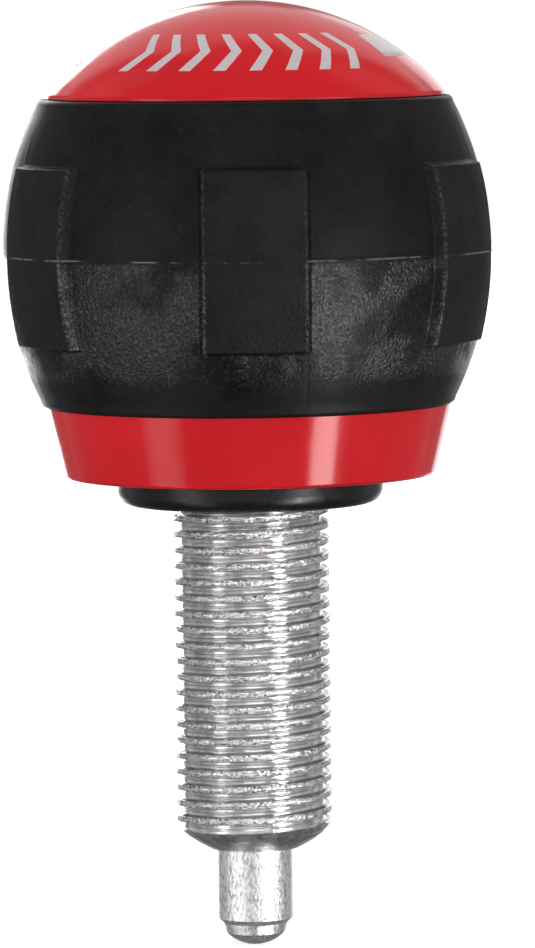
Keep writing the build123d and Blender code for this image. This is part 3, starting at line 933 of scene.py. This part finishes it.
def gripSleeve():
    g = grip
    middle = (g["low"] + g["high"]) / 2
    bm = bmesh.new()
    verts = addProfile(bm, gripOutline())
    bm.edges.new((verts[-1], verts[0]))
    spinRound(bm, g["columns"] * g["padCount"])
    grain, crown, parting, edges = (
        bm.verts.layers.float.new(name) for name in ("grain", "crown", "parting", "edges")
    )
    sector = 360 / g["padCount"]
    slopeGrain, lowerGrain = g["slopeGrain"]
    for v in bm.verts:
        spot = v.co / mm
        radius = hypot(spot.x, spot.y)
        turn = degrees(atan2(spot.y, spot.x)) + 90
        pad = round(turn / sector)
        away = padSpread((turn - pad * sector) / (sector / 2), radius)
        turn = radians(pad * sector + away - 90)
        if radius > g["boreRadius"] + g["outerFrom"]:
            fromSide = (g["padWidth"] / 2 - radius * sin(radians(abs(away)))) / g["slopeWidth"]
            fromEnd = (g["padLength"] / 2 - abs(spot.z - middle)) / g["endWidth"]
            x, y = 1 - within(fromSide, 0, 1), 1 - within(fromEnd, 0, 1)
            rise = 1 - min(hypot(x, y), 1)
            lift = g["padHeight"] * ((1 - g["crownEase"]) * rise + g["crownEase"] * eased(rise))
            slopes = 4 * rise * (1 - rise)
            lower = eased((middle - spot.z) / g["lowerFade"])
            coarse = lower * eased((spot.z - g["grainFrom"]) / g["grainFade"])
            valleyGrain = (1 - rise) * max(coarse, g["grainLeast"])
            v[grain] = min(1.0, max(valleyGrain, slopes * (slopeGrain + lowerGrain * lower)))
            # the pads, which get a painted sheen in the rubber
            v[crown] = rise
            # A painted highlight along the pads' edges, stronger below the parting line.
            edgeGlint = eased(1 - abs(fromSide - g["edgeGlintAt"]) / g["edgeGlintWidth"])
            edgeGlint *= eased((fromEnd + g["edgeGlintPast"]) / g["edgeGlintFade"])
            v[edges] = edgeGlint * (g["edgeGlintAbove"] + (1 - g["edgeGlintAbove"]) * lower)
            if g["low"] + g["plainEnd"] < spot.z < g["high"] - g["plainEnd"]:
                ridge = max(0.0, 1 - abs(spot.z - middle) / g["partingWidth"])
                lift += g["partingRidge"] * ridge
                lift += g["mouldStep"] * eased((spot.z - middle) / g["mouldStepWidth"])
                # the parting ridge gets a painted highlight in the rubber
                v[parting] = ridge
                lift += g["waviness"] * noiseIn(spot, (g["waveScale"],) * 3)
            radius += lift
        v.co = Vector((radius * cos(turn), radius * sin(turn), spot.z)) * mm
    finishPiece("gripSleeve", bm, "rubber", "knob", ["grip_sleeve"], g["sharpFrom"])


gripSleeve()
print("grip moulded")


# Marks printed on the dome: a row of chevrons in front and one long turning arrow behind

marks = {
    "domeRadius": 26.5,
    "domeTop": 50.57,
    "lift": 0.02,
    "thickness": 0.04,
    "chevrons": 8,
    "chevronFrom": -42.0,        # degrees round the dome
    "chevronTo": 39.0,
    "chevronTop": 28.6,          # degrees down from the dome's top
    "chevronBottom": 41.6,
    "chevronReach": 5.2,
    "chevronStroke": 3.9,
    "arrow": (57.0, 274.0, 290.0),   # tail, neck and point, degrees round
    "arrowBand": (29.8, 38.0),
    "arrowHead": (25.5, 44.5),
    "cutsRound": (-50, 300),     # the flat shapes are cut into squares that can bend
    "cutsDown": (24, 48),
    "cutStep": 3,
    "cutSlack": 1e-5,
    "leastEdge": 1e-4,
    "sharpFrom": 60,             # degrees
}


def flatShape(bm, corners):
    # A flat polygon, in degrees round the dome and down from its top.
    bm.faces.new([bm.verts.new((x, y, 0)) for x, y in corners])


def printedMarks():
    m = marks
    bm = bmesh.new()
    spacing = (m["chevronTo"] - m["chevronFrom"]) / (m["chevrons"] - 1)
    high, low, stroke, reach = m["chevronTop"], m["chevronBottom"], m["chevronStroke"], m["chevronReach"]
    centre = (high + low) / 2
    for i in range(m["chevrons"]):
        x = m["chevronFrom"] + spacing * i - (reach + stroke) / 2
        flatShape(bm, [
            (x, low), (x + stroke, low), (x + reach + stroke, centre),
            (x + stroke, high), (x, high), (x + reach, centre),
        ])
    tail, neck, point = m["arrow"]
    bandHigh, bandLow = m["arrowBand"]
    headHigh, headLow = m["arrowHead"]
    flatShape(bm, [
        (tail, bandLow), (neck, bandLow), (neck, headLow), (point, (headHigh + headLow) / 2),
        (neck, headHigh), (neck, bandHigh), (tail, bandHigh),
    ])
    bmesh.ops.triangulate(bm, faces=bm.faces[:])
    cuts = [((x, 0, 0), (1, 0, 0)) for x in range(*m["cutsRound"], m["cutStep"])]
    cuts += [((0, y, 0), (0, 1, 0)) for y in range(*m["cutsDown"], m["cutStep"])]
    for spot, across in cuts:
        bmesh.ops.bisect_plane(bm, geom=everything(bm), dist=m["cutSlack"], plane_co=spot, plane_no=across)
    bmesh.ops.dissolve_degenerate(bm, edges=bm.edges[:], dist=m["leastEdge"])
    centreHeight = m["domeTop"] - m["domeRadius"]
    ball = m["domeRadius"] + m["lift"]
    for v in bm.verts:
        around, down = radians(v.co.x), radians(v.co.y)
        out = ball * sin(down)
        v.co = Vector((out * sin(around), -out * cos(around), centreHeight + ball * cos(down))) * mm
    for face in bm.faces:
        if face.normal.dot(face.calc_center_median() - Vector((0, 0, centreHeight * mm))) < 0:
            face.normal_flip()
    bmesh.ops.solidify(bm, geom=everything(bm), thickness=m["thickness"] * mm)
    finishPiece("domeMarks", bm, "ink", "knob", sharp=m["sharpFrom"])


printedMarks()
print("marks printed")


# Finishes of the solids that stay as they are

nodeFinishes = {
    "drive_hub": "nylon",
    "guide_bush": "nylon",
    "plunger_pin": "pin",
    "knob_core": "red",
    "dome_cap": "red",
    "plain_washer": "zinc",
    "lock_washer": "wire",
    "hex_nut": "zinc",
}
for nodeName, finish in nodeFinishes.items():
    for slot in nodes[nodeName].material_slots:
        slot.material = finishes[finish]
print("finishes given")
